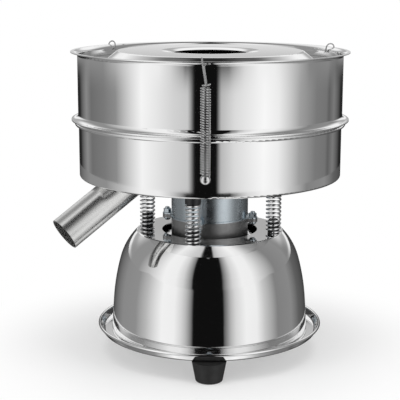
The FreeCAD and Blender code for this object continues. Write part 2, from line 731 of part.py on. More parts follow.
def make_spout():
    """Discharge tube, square at its mouth and shaped to the underside of the pan."""
    inner_line = [("0", "pan_bottom")] + pan_line()[:2]
    envelope = turned("pan_envelope", inner_line[0], inner_line[1:] + [
        ("pan_radius", "pan_rim"),
        ("0", "pan_rim"),
    ])
    outside = spout_tube("spout_outside", "spout_outer", "20")
    bore = spout_tube("spout_bore", "spout_outer - spout_wall", "20")
    node(cut("spout_shaped", outside, [bore, envelope]), "discharge_spout")


def make_screen():
    """Flat screen ring with wire mesh welded under it."""
    ring = turned("ring", ("screen_opening", "screen_bottom"), [
        ("screen_radius", "screen_bottom"),
        ("screen_radius", "screen_bottom + screen_gauge"),
        ("screen_opening", "screen_bottom + screen_gauge"),
    ])
    node(ring, "screen_ring")
    mesh = cylinder("mesh", "mesh_radius", "mesh_gauge")
    node(place(mesh, level="screen_bottom - mesh_gauge"), "screen_mesh")


def make_drum():
    """Open drum with an outward brim at each end, and the wire ring that the lid rests on."""
    low = "(drum_bottom + sheet_gauge)"
    high = "(drum_top - sheet_gauge)"
    drum = spun("drum", ("drum_brim", low), [
        ("drum_radius + brim_fillet", low),
        ("drum_radius", f"{low} + brim_fillet",
         "drum_radius + brim_fillet", f"{low} + brim_fillet", "right"),
        ("drum_radius", f"{high} - rim_fillet"),
        ("drum_radius + rim_fillet", high,
         "drum_radius + rim_fillet", f"{high} - rim_fillet", "right"),
        ("drum_brim", high),
    ], "sheet_gauge")
    node(drum, "sieve_drum")
    rest = doc.addObject("Part::Torus", "rest_ring")
    bind(rest, Radius1="drum_radius - sheet_gauge - rest_wire / 2", Radius2="rest_wire / 2")
    place(rest, level="lid_brim - sheet_gauge - lid_lift_play - rest_wire / 2")
    node(rest, "lid_rest_ring")


def make_lid():
    """Spun lid: dished feed lip, flat plateau, sloping step and a brim inside the drum."""
    lip_centre = "(feed_radius + feed_lip)"
    lip_level = "(lid_top - feed_lip_radius)"
    knee_run = "lid_knee * sin(lid_slope)"
    knee_drop = "lid_knee * (1 - cos(lid_slope))"
    foot = (f"(lid_plateau + 2 * {knee_run}"
            f" + (lid_step - 2 * {knee_drop}) / tan(lid_slope))")
    lid = spun("lid", ("lid_radius", "lid_brim"), [
        (foot, "lid_brim"),
        (f"{foot} - {knee_run}", f"lid_brim + {knee_drop}",
         foot, "lid_brim + lid_knee", "right"),
        (f"lid_plateau + {knee_run}", f"lid_top - {knee_drop}"),
        ("lid_plateau", "lid_top", "lid_plateau", "lid_top - lid_knee", "left"),
        (lip_centre, "lid_top"),
        ("feed_radius", f"{lip_level} + sqrt(feed_lip_radius ^ 2 - feed_lip ^ 2)",
         lip_centre, lip_level, "left"),
    ], "sheet_gauge")
    node(lid, "feed_lid")


# ---------------------------------------------------------------- clamp springs

def make_clamp_studs():
    """Domed studs riveted through the pan wall, each with a collar against it."""
    inner = "(-sheet_gauge)"
    rivet_radius = "stud_shank + rivet_lip"
    head = "(clamp_circle - pan_radius + clamp_wire / 2 + seat_play)"
    dome = f"({head} + stud_edge)"
    dome_radius = "((stud_head ^ 2 + stud_dome ^ 2) / (2 * stud_dome))"
    members = []
    for side, azimuth in CLAMPS:
        body = turned("clamp_stud_" + side, ("0", f"{inner} - rivet_head"), [
            (rivet_radius, f"{inner} - rivet_head"),
            (rivet_radius, f"{inner} - rivet_play"),
            ("stud_shank", f"{inner} - rivet_play"),
            ("stud_shank", "0"),
            ("stud_head", "0"),
            ("stud_head", "stud_collar"),
            ("stud_radius", "stud_collar"),
            ("stud_radius", head),
            ("stud_head", head),
            ("stud_head", dome),
            ("0", f"{dome} + stud_dome", "0", f"{dome} + stud_dome - {dome_radius}", "left"),
        ])
        members.append(place(body, "pan_radius", azimuth, "stud_level", outward(azimuth)))
    node(group("clamp_studs", members), "clamp_studs")


def hooked_leg(coil_top):
    """Centre line of the straight leg, the hook over the rim and its turned-in end.

    X points away from the machine's axis, Z up; the leg starts on the coil's axis.
    """
    mean = size("hook_mean")
    rise = size("drum_top + hook_rise - stud_level") - coil_top
    centre = V(size("drum_radius + (brim_width - sheet_gauge) / 2 - clamp_circle"), 0,
               coil_top + rise / math.cos(math.radians(size("clamp_lean")))
               - (mean - size("clamp_wire") / 2))
    start = V(0, 0, coil_top)
    to_start = start - centre
    reach = to_start.Length
    bearing = math.atan2(to_start.z, to_start.x) + math.acos(mean / reach)

    def on_hook(angle):
        return centre + V(math.cos(angle), 0, math.sin(angle)) * mean

    touch = on_hook(bearing)
    inner = on_hook(math.pi)
    top = on_hook((bearing + math.pi) / 2)
    tail = inner - V(0, 0, size("hook_tail"))
    curl = mean * 0.3
    return [
        Part.LineSegment(start, touch).toShape(),
        Part.Arc(touch, top, inner).toShape(),
        Part.LineSegment(inner, tail).toShape(),
        Part.Arc(tail, tail + V(-curl * (1 - math.sqrt(0.5)), 0, -curl * math.sqrt(0.5)),
                 tail + V(-curl, 0, -curl)).toShape(),
    ]


def make_clamp_springs():
    """Extension springs from the pan's studs to the drum's rim."""
    wire = size("clamp_wire") / 2
    mean = size("clamp_mean")
    loop_centre = mean - wire - size("stud_radius + seat_play")
    loop_top = loop_centre + mean
    bottom = loop_top + wire
    top = size("drum_top - clamp_leg - stud_level")
    halves = 2 * round(size("clamp_turns"))
    rise = (top - wire - bottom) / halves
    turns = coil(mean, wire, [rise] * halves)
    turns.translate(V(0, 0, bottom))
    loop = Part.makeTorus(mean, wire, V(0, 0, loop_centre), V(0, 1, 0))
    lower_bar = swept_wire(wire_path([V(mean, 0, bottom), V(0, 0, loop_top)], wire), wire)
    leg_start = V(0, 0, top + 2)
    upper_bar = swept_wire(wire_path([
        V(mean, 0, top - wire), V(0, 0, top - wire), leg_start], 1.2), wire)
    hook = swept_wire(Part.Wire(hooked_leg(leg_start.z)), wire)
    hook.rotate(V(), UP, -90)
    hook.rotate(leg_start, V(0, -1, 0), size("clamp_lean"))
    knuckle = Part.makeSphere(wire, leg_start)
    spring = turns.multiFuse([loop, lower_bar, upper_bar, hook, knuckle])
    for side, azimuth in CLAMPS:
        turn = FreeCAD.Rotation(UP, azimuth + 90)
        at = FreeCAD.Rotation(UP, azimuth).multVec(V(size("clamp_circle"), 0, size("stud_level")))
        feature = wire_feature("clamp_" + side, spring.copy(), FreeCAD.Placement(at, turn))
        node(feature, "clamp_spring_" + side)


# ---------------------------------------------------------------- motor

def mount_azimuths():
    return [45 + turn for _, turn in SPRINGS]


def make_can():
    """Drawn cover over the upper weight, with a lip and four ears at its open end."""
    corner = "2 * can_gauge"
    inside = "(motor_radius - can_gauge)"
    ceiling = "(pan_bottom - can_gauge)"
    can = turned("can", ("0", "pan_bottom"), [
        (f"motor_radius - {corner}", "pan_bottom"),
        ("motor_radius", f"pan_bottom - {corner}",
         f"motor_radius - {corner}", f"pan_bottom - {corner}", "right"),
        ("motor_radius", "motor_joint + can_gauge"),
        ("motor_radius + can_lip", "motor_joint + can_gauge"),
        ("motor_radius + can_lip", "motor_joint"),
        (inside, "motor_joint"),
        (inside, ceiling),
        ("0", ceiling),
    ])
    lugs(can, "can_ear", "ear_circle", "ear_radius", "motor_stud + hole_play",
         "motor_radius - can_gauge / 2", "motor_joint", "can_gauge", 4, "spring_azimuth")
    holes = drills("mount_hole", "mount_screw + hole_play", "mount_circle",
                   mount_azimuths(), "pan_bottom - can_gauge - 1", "can_gauge + 2")
    node(cut("can_drilled", can, holes), "motor_weight_cover")


def make_housing():
    """Cast housing, closed above by a web with the upper bearing seat, with ears and lugs."""
    under_web = "(motor_joint - web)"
    under_boss = "upper_bearing_level"
    cover = "(motor_joint - bearing_cover)"
    opening = "(bearing_outer - 4)"
    housing = turned("housing", (opening, "motor_joint"), [
        ("motor_radius", "motor_joint"),
        ("motor_radius", "housing_bottom"),
        ("housing_bore", "housing_bottom"),
        ("housing_bore", under_web),
        ("boss_radius", under_web),
        ("boss_radius", under_boss),
        ("bearing_outer", under_boss),
        ("bearing_outer", cover),
        (opening, cover),
    ])
    root = "motor_radius - housing_wall / 2"
    lugs(housing, "ear", "ear_circle", "ear_radius", "motor_stud + hole_play",
         root, "motor_joint - ear_thickness", "ear_thickness", 4, "spring_azimuth")
    lugs(housing, "lower_lug", "lug_circle", "lug_radius", "lug_screw + hole_play",
         root, "housing_bottom", "lug_thickness", 4, "spring_azimuth + 45")
    node(housing, "motor_housing")


def make_end_shield():
    """Lower end shield: plate, spigot in the housing and a boss round the lower bearing."""
    face = "housing_bottom"
    under = "(housing_bottom - lug_thickness)"
    opening = "(bearing_outer - 4)"
    spigot = "(housing_bore - hole_play)"
    seat = "lower_bearing_level"
    shield = turned("shield", (opening, f"{seat} - bearing_cover"), [
        ("boss_radius", f"{seat} - bearing_cover"),
        ("boss_radius", under),
        ("motor_radius", under),
        ("motor_radius", face),
        (spigot, face),
        (spigot, f"{face} + 3"),
        (f"{spigot} - 3", f"{face} + 3"),
        (f"{spigot} - 3", face),
        ("boss_radius", face),
        ("boss_radius", f"{seat} + bearing_width"),
        ("bearing_outer", f"{seat} + bearing_width"),
        ("bearing_outer", seat),
        (opening, seat),
    ])
    lugs(shield, "shield_lug", "lug_circle", "lug_radius", "lug_screw + hole_play",
         "motor_radius - housing_wall / 2", under, "lug_thickness", 4, "spring_azimuth + 45")
    node(shield, "motor_end_shield")


def make_motor_fasteners():
    """Studs and nuts at the ears, screws at the lower lugs, and screws through the pan floor."""
    over = FreeCAD.Rotation(V(1, 0, 0), HALF_TURN)
    ears = spring_azimuths()
    grip = "can_gauge + ear_thickness"
    studs = on_circle("ear_studs", lambda: screw(
        "ear_stud", "motor_stud", f"{grip} + 6.5", "motor_stud * 1.7", "3.5"),
        "ear_circle", ears, "motor_joint - ear_thickness", over)
    node(studs, "motor_studs")
    nuts = on_circle("ear_nuts", lambda: nut("ear_nut", "motor_stud", "8", "4.5"),
                     "ear_circle", ears, "motor_joint + can_gauge")
    node(nuts, "motor_nuts")
    lower = [azimuth + 45 for azimuth in ears]
    screws = on_circle("lug_screws", lambda: screw(
        "lug_screw_body", "lug_screw", "2 * lug_thickness + 5", "lug_screw * 1.8", "2.6"),
        "lug_circle", lower, "housing_bottom - lug_thickness", over)
    node(screws, "shield_screws")
    nuts = on_circle("lug_nuts", lambda: nut("lug_nut", "lug_screw", "7", "3.2"),
                     "lug_circle", lower, "housing_bottom + lug_thickness")
    node(nuts, "shield_nuts")
    screws = on_circle("mount_screws", lambda: screw(
        "mount_screw_body", "mount_screw", "sheet_gauge + can_gauge + 6.5",
        "mount_screw * 1.75", "3.3"), "mount_circle", mount_azimuths(), "pan_floor")
    node(screws, "motor_mount_screws")
    nuts = on_circle("mount_nuts", lambda: nut("mount_nut", "mount_screw", "10", "5"),
                     "mount_circle", mount_azimuths(), "pan_bottom - can_gauge - 5")
    node(nuts, "motor_mount_nuts")


def make_stator():
    """Laminated stator with its end windings."""
    top = "(stack_bottom + stack)"
    core = turned("stator", ("stator_bore", "stack_bottom"), [
        ("housing_bore", "stack_bottom"),
        ("housing_bore", top),
        ("stator_bore", top),
    ])
    node(core, "stator_core")
    inner, outer = "(stator_bore + 2)", "(housing_bore - 3)"
    members = []
    for name, level in (("winding_above", top), ("winding_below", "stack_bottom - winding_height")):
        members.append(turned(name, (inner, level), [
            (outer, level),
            (outer, f"{level} + winding_height"),
            (inner, f"{level} + winding_height"),
        ]))
    node(group("windings", members), "stator_windings")


def make_bearings():
    """Two ball bearings, drawn as closed rings with running clearance on the shaft."""
    bore = "journal + running_play"
    shoulder = "1"
    for name, level in (("upper", "upper_bearing_level"), ("lower", "lower_bearing_level")):
        ring = turned(name + "_ring", (bore, level), [
            (f"bearing_outer - {shoulder}", level),
            ("bearing_outer", f"{level} + {shoulder}"),
            ("bearing_outer", f"{level} + bearing_width"),
            (bore, f"{level} + bearing_width"),
        ])
        node(ring, name + "_bearing")


def make_rotor():
    """Shaft, squirrel-cage core and the two eccentric weights with their set screws."""
    top = "(motor_joint + shaft_above)"
    bottom = "(housing_bottom - shaft_below)"
    upper_shoulder = "(upper_bearing_level - 1)"
    lower_shoulder = "(lower_bearing_level + bearing_width + 1)"
    shaft = turned("shaft", ("0", bottom), [
        ("journal - 1", bottom),
        ("journal", f"{bottom} + 1"),
        ("journal", lower_shoulder),
        ("shaft_core", lower_shoulder),
        ("shaft_core", upper_shoulder),
        ("journal", upper_shoulder),
        ("journal", f"{top} - 1"),
        ("journal - 1", top),
        ("0", top),
    ])
    node(shaft, "rotor_shaft")
    core_top = "(stack_bottom + stack)"
    rim = "(stator_bore - air_gap)"
    core = turned("core", ("shaft_core", "stack_bottom"), [
        (f"{rim} - 10", "stack_bottom"),
        (f"{rim} - 10", "stack_bottom - end_ring"),
        (f"{rim} - 1", "stack_bottom - end_ring"),
        (f"{rim} - 1", "stack_bottom"),
        (rim, "stack_bottom"),
        (rim, core_top),
        (f"{rim} - 1", core_top),
        (f"{rim} - 1", f"{core_top} + end_ring"),
        (f"{rim} - 10", f"{core_top} + end_ring"),
        (f"{rim} - 10", core_top),
        ("shaft_core", core_top),
    ])
    node(core, "rotor_core")
    for name, level, thickness in (
            ("upper_weight", f"{top} - 3 - upper_weight", "upper_weight"),
            ("lower_weight", f"{bottom} + 3", "lower_weight")):
        node(make_weight(name + "_body", level, thickness), "eccentric_" + name)
    members = []
    for name, level in (("upper_set_screw", f"{top} - 3 - upper_weight / 2"),
                        ("lower_set_screw", f"{bottom} + 3 + lower_weight / 2")):
        pin_body = cylinder(name, "2", "weight_hub - journal + 1")
        members.append(place(pin_body, "journal", "270", level, outward(270)))
    node(group("set_screws", members), "weight_set_screws")


def make_weight(name, level, thickness):
    """A half disc on a round hub, bored for the shaft and tapped on its light side."""
    body = doc.addObject("PartDesign::Body", name)
    sketch = body_sketch(body, "XY_Plane", name + "_outline", level)
    chord = "(-2)"
    draw(sketch, ("weight_radius", chord), [
        ("weight_radius", "0"),
        ("-weight_radius", "0", "0", "0", "left"),
        ("-weight_radius", chord),
        ("-weight_hub", chord),
        ("weight_hub", chord, "0", chord, "left"),
    ])
    shaft_hole = sketch.addGeometry(Part.Circle(V(), UP, size("journal")), False)
    sketch.addConstraint(Sketcher.Constraint("Coincident", shaft_hole, 3, -1, 1))
    index = sketch.addConstraint(Sketcher.Constraint("Radius", shaft_hole, size("journal")))
    sketch.setExpression(f"Constraints[{index}]", spelled("journal"))
    doc.recompute()
    pad = body.newObject("PartDesign::Pad", name + "_pad")
    pad.Profile = sketch
    bind(pad, Length=thickness)
    doc.recompute()
    tap = cylinder(name + "_tap", "2", "weight_hub + 10")
    place(tap, "0", "270", f"{level} + ({thickness}) / 2", outward(270))
    return cut(name + "_tapped", body, [tap])


# ---------------------------------------------------------------- fittings

def across(name, radius, reach):
    """A cylinder along Y, reaching as far to either side of the origin."""
    bar = cylinder(name, radius, f"2 * ({reach})")
    bar.Placement = FreeCAD.Placement(V(0, -size(reach), 0), FreeCAD.Rotation(V(1, 0, 0), -90))
    return bar


def make_switch():
    """Round rocker switch at the back of the bowl: snap-in bezel and tilting rocker."""
    turn = outward(size("switch_azimuth"), size("bowl_lean"))
    bezel = turned("bezel", ("0", "-switch_depth"), [
        ("switch_barrel", "-switch_depth"),
        ("switch_barrel", "0"),
        ("switch_barrel + 1.5", "0"),
        ("switch_barrel + 1.5", "1.2"),
        ("switch_barrel + 0.5", "2.2"),
        ("rocker_well", "2.2"),
        ("rocker_well", "-9"),
        ("0", "-9"),
    ])
    sockets = across("rocker_sockets", "pivot_radius + pivot_play",
                     "rocker_well + pivot_reach + pivot_play")
    bezel = cut("bezel_with_sockets", bezel, [sockets])
    node(place(bezel, "port_radius", "switch_azimuth", "port_height", turn), "switch_bezel")
    puck = cylinder("rocker_puck", "rocker_radius", "10")
    puck.Placement.Base = V(0, 0, -5)
    crown = across("rocker_crown", "2 * rocker_radius", "2 * rocker_radius")
    crown.Placement.Base.z = 3.5 - 2 * size("rocker_radius")
    button = doc.addObject("Part::Common", "rocker_button")
    button.Base = puck
    button.Tool = crown
    rocker = doc.addObject("Part::Fuse", "rocker_body")
    rocker.Base = button
    rocker.Tool = across("rocker_pivots", "pivot_radius", "rocker_well + pivot_reach")
    tilt = turn.multiply(FreeCAD.Rotation(V(0, 1, 0), -size("rocker_tilt")))
    node(place(rocker, "port_radius", "switch_azimuth", "port_height", tilt), "switch_rocker")


def make_gland():
    """Cord gland beside the switch: threaded body, dome nut and lock nut."""
    turn = outward(size("gland_azimuth"), size("bowl_lean"))
    hole = "gland_bore"
    body = turned("gland", (hole, "-10"), [
        ("gland_thread", "-10"),
        ("gland_thread", "0"),
        ("gland_thread + 3", "0"),
        ("gland_thread + 3", "4"),
        ("gland_thread", "4"),
        ("gland_thread", "9"),
        (hole, "9"),
    ])
    node(place(body, "port_radius", "gland_azimuth", "port_height", turn), "gland_body")
    cap = turned("cap", ("gland_thread", "4.2"), [
        ("gland_thread + 2.6", "4.2"),
        ("gland_thread + 2.6", "10"),
        ("gland_thread - 0.4", "14"),
        (hole, "14"),
        (hole, "9.2"),
        ("gland_thread", "9.2"),
    ])
    node(place(cap, "port_radius", "gland_azimuth", "port_height", turn), "gland_cap")
    lock = nut("gland_lock", "gland_thread", "16", "3")
    back = "port_radius - (bowl_gauge + 3.4) * cos(bowl_lean)"
    drop = "port_height - (bowl_gauge + 3.4) * sin(bowl_lean)"
    node(place(lock, back, "gland_azimuth", drop, turn), "gland_lock_nut")


def make_capacitor():
    """Stud-mounted run capacitor standing on the tray inside the bowl."""
    base = "tray_floor"
    body = turned("capacitor", ("0", "foot_height - 8"), [
        ("base_screw", "foot_height - 8"),
        ("base_screw", base),
        ("capacitor_radius", base),
        ("capacitor_radius", f"{base} + capacitor_height - 2"),
        ("capacitor_radius - 2", f"{base} + capacitor_height"),
        ("0", f"{base} + capacitor_height"),
    ])
    node(place(body, "capacitor_circle", CAPACITOR_AZIMUTH), "run_capacitor")
    holder = nut("capacitor_nut_body", "base_screw", "8", "4")
    node(place(holder, "capacitor_circle", CAPACITOR_AZIMUTH, "foot_height - 4"), "capacitor_nut")


# ---------------------------------------------------------------- build, check and write

def check():
    """Stop if any object failed, or any sub-part is empty, invalid or has no solid."""
    for obj in doc.Objects:
        if {"Invalid", "Error"} & set(obj.State):
            raise RuntimeError(f"{obj.Label} failed: {obj.State}")
    for obj in NODES:
        shape = obj.Shape
        if shape.isNull() or not shape.isValid() or not shape.Solids:
            raise RuntimeError(f"{obj.Label} has no valid solid")


def write():
    os.makedirs("parts", exist_ok=True)
    for obj in NODES:
        obj.Shape.exportStep(f"parts/{obj.Label}.step")


make_tray()
make_bowl()
make_feet()
make_base_fasteners()
make_suspension()
make_pan()
make_spout()
make_screen()
make_drum()
make_lid()
make_clamp_studs()
make_clamp_springs()
make_can()
make_housing()
make_end_shield()
make_motor_fasteners()
make_stator()
make_bearings()
make_rotor()
make_switch()
make_gland()
make_capacitor()
doc.recompute()
check()
write()
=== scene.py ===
import json
import math

import bpy
import numpy as np
from mathutils import Matrix, Vector


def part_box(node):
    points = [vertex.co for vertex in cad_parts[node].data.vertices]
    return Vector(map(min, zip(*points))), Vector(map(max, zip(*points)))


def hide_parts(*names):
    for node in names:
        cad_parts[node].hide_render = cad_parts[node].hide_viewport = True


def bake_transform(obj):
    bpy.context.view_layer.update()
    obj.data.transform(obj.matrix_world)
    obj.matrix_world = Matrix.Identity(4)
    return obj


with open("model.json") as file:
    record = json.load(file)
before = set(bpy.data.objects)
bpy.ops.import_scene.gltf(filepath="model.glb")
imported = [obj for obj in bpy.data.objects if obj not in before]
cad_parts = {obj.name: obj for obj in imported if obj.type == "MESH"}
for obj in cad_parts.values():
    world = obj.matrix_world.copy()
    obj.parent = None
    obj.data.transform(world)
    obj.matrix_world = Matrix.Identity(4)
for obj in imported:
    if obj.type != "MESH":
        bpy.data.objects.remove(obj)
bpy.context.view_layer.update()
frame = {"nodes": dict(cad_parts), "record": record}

# ---------------------------------------------------------------- camera

SENSOR = 36.0
LENS = 102.71
CAMERA_PLACE = Vector((0.0, -1.30696, 0.44645))
CAMERA_PITCH = 0.2033
CAMERA_YAW = -0.0087
CAMERA_ROLL = 0.0021


def make_camera():
    data = bpy.data.cameras.new("camera")
    data.sensor_width = SENSOR
    data.lens = LENS
    data.clip_start = 0.05
    data.clip_end = 30.0
    camera = bpy.data.objects.new("camera", data)
    bpy.context.scene.collection.objects.link(camera)
    forward = Vector((math.sin(CAMERA_YAW) * math.cos(CAMERA_PITCH),
                      math.cos(CAMERA_YAW) * math.cos(CAMERA_PITCH),
                      -math.sin(CAMERA_PITCH)))
    right = Vector((math.cos(CAMERA_YAW), -math.sin(CAMERA_YAW), 0.0))
    up = right.cross(forward)
    turn = Matrix((right, up, -forward)).transposed()
    roll = Matrix.Rotation(CAMERA_ROLL, 3, "Z")
    camera.matrix_world = Matrix.Translation(CAMERA_PLACE) @ (turn @ roll).to_4x4()
    bpy.context.scene.camera = camera
    return camera


make_camera()
bpy.context.scene.view_settings.view_transform = "Standard"

# ---------------------------------------------------------------- light

FLOOR_RADIUS = 1.6
FLOOR_SIDES = 96
FLOOR_DROP = 0.0002
# The floor is pale paper under the object, and shines as white as the backdrop farther out.
FADE_START = 0.15
FADE_END = 0.32
FADE_LEAST = 0.35
WORLD_GREY = 0.42
# Each lamp: where it hangs, the height of the point on the axis that it faces, size and power.
LAMPS = {
    "top_soft": ((0.0, -0.2, 1.6), 0.1, (1.6, 1.6), 16.0),
    "left_soft": ((-1.5, -0.9, 0.9), 0.2, (1.0, 1.2), 9.0),
    "right_soft": ((1.5, -0.7, 0.9), 0.2, (1.0, 1.2), 9.0),
}
# Brightness of the light tent that polished metal reflects, by azimuth from the front (-Y).
TENT_LOW = (
    (-180, 0.02), (-150, 0.02), (-130, 0.26), (-120, 0.16), (-100, 0.20), (-85, 0.27),
    (-70, 0.65), (-58, 0.95), (-45, 0.83), (-30, 0.67), (-18, 0.60), (-13.5, 0.05),
    (-12.5, 0.005), (5.5, 0.005), (9, 0.50), (20, 0.73), (45, 0.98), (58, 0.88), (80, 0.36),
    (100, 0.20), (115, 0.18), (120, 0.12), (130, 0.20), (150, 0.02), (180, 0.02),
)
TENT_HIGH = (
    (-180, 0.10), (-150, 0.10), (-125, 0.28), (-100, 0.28), (-80, 0.56), (-58, 0.92),
    (-42, 0.89), (-32, 0.66), (-22, 0.20), (-20, 0.005), (15, 0.005), (18, 0.20), (28, 0.68),
    (40, 0.92), (54, 0.90), (70, 0.58), (90, 0.23), (118, 0.27), (135, 0.11), (150, 0.10),
    (180, 0.10),
)
TENT_RADIUS = 3.0
TENT_CENTRE = 0.2
TENT_SPLIT = (-4.0, -1.0)
TENT_BACK = (
    (-90, 0.02), (-3, 0.02), (1.5, 0.9), (6, 0.9), (8, 0.42), (14, 0.42), (20, 0.9), (30, 0.95),
    (52, 0.6), (62, 0.03), (90, 0.02),
)
# The low ring of panels that only the bowl's lower wall reflects, by azimuth.
RING_RADIUS = 0.45
RING_LEVELS = (-0.15, 0.155)
RING_LIGHT = (
    (-180, 0.05), (-150, 0.05), (-110, 0.26), (-85, 0.28), (-70, 0.50), (-50, 0.93), (-36, 0.90),
    (-29, 0.70), (-24, 0.50), (-20, 0.28), (-17.5, 0.12), (-16.5, 0.005), (14, 0.005), (15, 0.10),
    (18, 0.26), (22, 0.50), (27, 0.71), (38, 0.93), (50, 0.90), (60, 0.58), (77, 0.23),
    (100, 0.26), (118, 0.12), (150, 0.05), (180, 0.05),
)
AZIMUTHS = np.arange(-180, 181, 1.0)


def ramp(table, at):
    """Values between the rows of a table, joined by straight lines."""
    keys, values = zip(*table)
    return np.interp(at, keys, values)


def smooth(low, high, at):
    step = np.clip((at - low) / (high - low), 0, 1)
    return step * step * (3 - 2 * step)


def tent_light(azimuth, elevation):
    """How bright the tent is in a direction, with 0 in front and positive to the right."""
    side = ramp(TENT_LOW, azimuth)
    side += (ramp(TENT_HIGH, azimuth) - side) * smooth(*TENT_SPLIT, elevation)
    behind = smooth(118, 150, np.abs(azimuth)) * smooth(-3.5, -1.0, elevation)
    return side + (ramp(TENT_BACK, elevation) - side) * behind


def link(obj):
    bpy.context.scene.collection.objects.link(obj)
    return obj


def mesh_object(name, points, faces, flat=False):
    data = bpy.data.meshes.new(name)
    data.from_pydata([tuple(p) for p in points], [], faces)
    data.update()
    if not flat:
        data.shade_smooth()
    return link(bpy.data.objects.new(name, data))


def emission(name, strength):
    """A material that shines white, and its node tree."""
    material = bpy.data.materials.new(name)
    material.use_nodes = True
    tree = material.node_tree
    tree.nodes.clear()
    glow = tree.nodes.new("ShaderNodeEmission")
    glow.inputs["Strength"].default_value = strength
    out = tree.nodes.new("ShaderNodeOutputMaterial")
    tree.links.new(glow.outputs[0], out.inputs["Surface"])
    material.cycles.emission_sampling = "NONE"
    return material, tree, glow


def reflected_panels(name, rings, light):
    """Panels that only reflections see: rings of radius, height and key, lit by azimuth and key."""
    points, levels = [], []
    for radius, height, key in rings:
        for azimuth in AZIMUTHS:
            a = math.radians(azimuth)
            points.append((radius * math.sin(a), -radius * math.cos(a), height))
            levels.append(float(light(azimuth, key)))
    wide = len(AZIMUTHS)
    faces = [(r * wide + c, r * wide + c + 1, (r + 1) * wide + c + 1, (r + 1) * wide + c)
             for r in range(len(rings) - 1) for c in range(wide - 1)]
    panels = mesh_object(name, points, faces)
    paint = panels.data.attributes.new("level", "FLOAT", "POINT")
    paint.data.foreach_set("value", levels)
    material, tree, glow = emission(name + "_light", 1.0)
    level = tree.nodes.new("ShaderNodeAttribute")
    level.attribute_name = "level"
    tree.links.new(level.outputs["Fac"], glow.inputs["Strength"])
    panels.data.materials.append(material)
    panels.visible_camera = False
    panels.visible_diffuse = False
    panels.visible_shadow = False
    panels.visible_transmission = False


def make_tent():
    """Round light tent, painted with soft panels and a dark gap in front."""
    elevations = np.concatenate([np.arange(-90, -12, 6.0), np.arange(-12, 12, 0.75),
                                 np.arange(12, 90.1, 3.0)])
    rings = [(TENT_RADIUS * math.cos(math.radians(e)),
              TENT_CENTRE + TENT_RADIUS * math.sin(math.radians(e)), e) for e in elevations]
    reflected_panels("light_tent", rings, tent_light)


def make_low_ring():
    """Low panels close round the base, with a wider dark gap in front."""
    rings = [(RING_RADIUS, level, 0) for level in RING_LEVELS]
    reflected_panels("low_panels", rings, lambda azimuth, key: ramp(RING_LIGHT, azimuth))


def area_light(name, place, aim_height, size, power):
    data = bpy.data.lights.new(name, "AREA")
    data.shape = "RECTANGLE"
    data.size, data.size_y = size
    data.energy = power
    lamp = link(bpy.data.objects.new(name, data))
    lamp.location = place
    lamp.rotation_mode = "QUATERNION"
    lamp.rotation_quaternion = (Vector((0, 0, aim_height)) - Vector(place)).to_track_quat("-Z", "Y")
    lamp.visible_glossy = False


def make_world():
    world = bpy.data.worlds.new("studio")
    world.use_nodes = True
    tree = world.node_tree
    tree.nodes.clear()
    rays = tree.nodes.new("ShaderNodeLightPath")
    seen = tree.nodes.new("ShaderNodeMath")
    seen.operation = "MAXIMUM"
    tree.links.new(rays.outputs["Is Camera Ray"], seen.inputs[0])
    tree.links.new(rays.outputs["Is Transmission Ray"], seen.inputs[1])
    shine = tree.nodes.new("ShaderNodeMath")
    shine.operation = "MAXIMUM"
    tree.links.new(seen.outputs[0], shine.inputs[0])
    tree.links.new(rays.outputs["Is Glossy Ray"], shine.inputs[1])
    mix = tree.nodes.new("ShaderNodeMix")
    mix.data_type = "RGBA"
    mix.inputs["A"].default_value = (WORLD_GREY, WORLD_GREY, WORLD_GREY, 1)
    mix.inputs["B"].default_value = (1, 1, 1, 1)
    tree.links.new(shine.outputs[0], mix.inputs["Factor"])
    glow = tree.nodes.new("ShaderNodeBackground")
    tree.links.new(mix.outputs["Result"], glow.inputs["Color"])
    out = tree.nodes.new("ShaderNodeOutputWorld")
    tree.links.new(glow.outputs[0], out.inputs["Surface"])
    bpy.context.scene.world = world


def make_floor():
    """Pale floor whose colour fades into the white background away from the object."""
    angles = [2 * math.pi * i / FLOOR_SIDES for i in range(FLOOR_SIDES)]
    ring = [(FLOOR_RADIUS * math.cos(a), FLOOR_RADIUS * math.sin(a), 0) for a in angles]
    floor = mesh_object("floor", ring, [tuple(range(FLOOR_SIDES))], flat=True)
    material = bpy.data.materials.new("floor_paper")
    material.use_nodes = True
    tree = material.node_tree
    bsdf = tree.nodes["Principled BSDF"]
    bsdf.inputs["Base Color"].default_value = (0.93, 0.93, 0.93, 1)
    bsdf.inputs["Roughness"].default_value = 0.9
    bsdf.inputs["Specular IOR Level"].default_value = 0.1
    glow = tree.nodes.new("ShaderNodeEmission")
    glow.inputs["Color"].default_value = (1, 1, 1, 1)
    place = tree.nodes.new("ShaderNodeTexCoord")
    length = tree.nodes.new("ShaderNodeVectorMath")
    length.operation = "LENGTH"
    tree.links.new(place.outputs["Object"], length.inputs[0])
    fade = tree.nodes.new("ShaderNodeMapRange")
    fade.interpolation_type = "SMOOTHSTEP"
    fade.inputs["From Min"].default_value = FADE_START
    fade.inputs["From Max"].default_value = FADE_END
    fade.inputs["To Min"].default_value = FADE_LEAST
    tree.links.new(length.outputs["Value"], fade.inputs["Value"])
    mix = tree.nodes.new("ShaderNodeMixShader")
    tree.links.new(fade.outputs["Result"], mix.inputs["Fac"])
    tree.links.new(bsdf.outputs[0], mix.inputs[1])
    tree.links.new(glow.outputs[0], mix.inputs[2])
    tree.links.new(mix.outputs[0], tree.nodes["Material Output"].inputs["Surface"])
    material.cycles.emission_sampling = "NONE"
    floor.data.materials.append(material)
    floor.visible_glossy = False
    floor.location.z = -FLOOR_DROP


make_world()
make_tent()
make_low_ring()
make_floor()
for lamp_name, lamp_values in LAMPS.items():
    area_light(lamp_name, *lamp_values)

# ---------------------------------------------------------------- materials


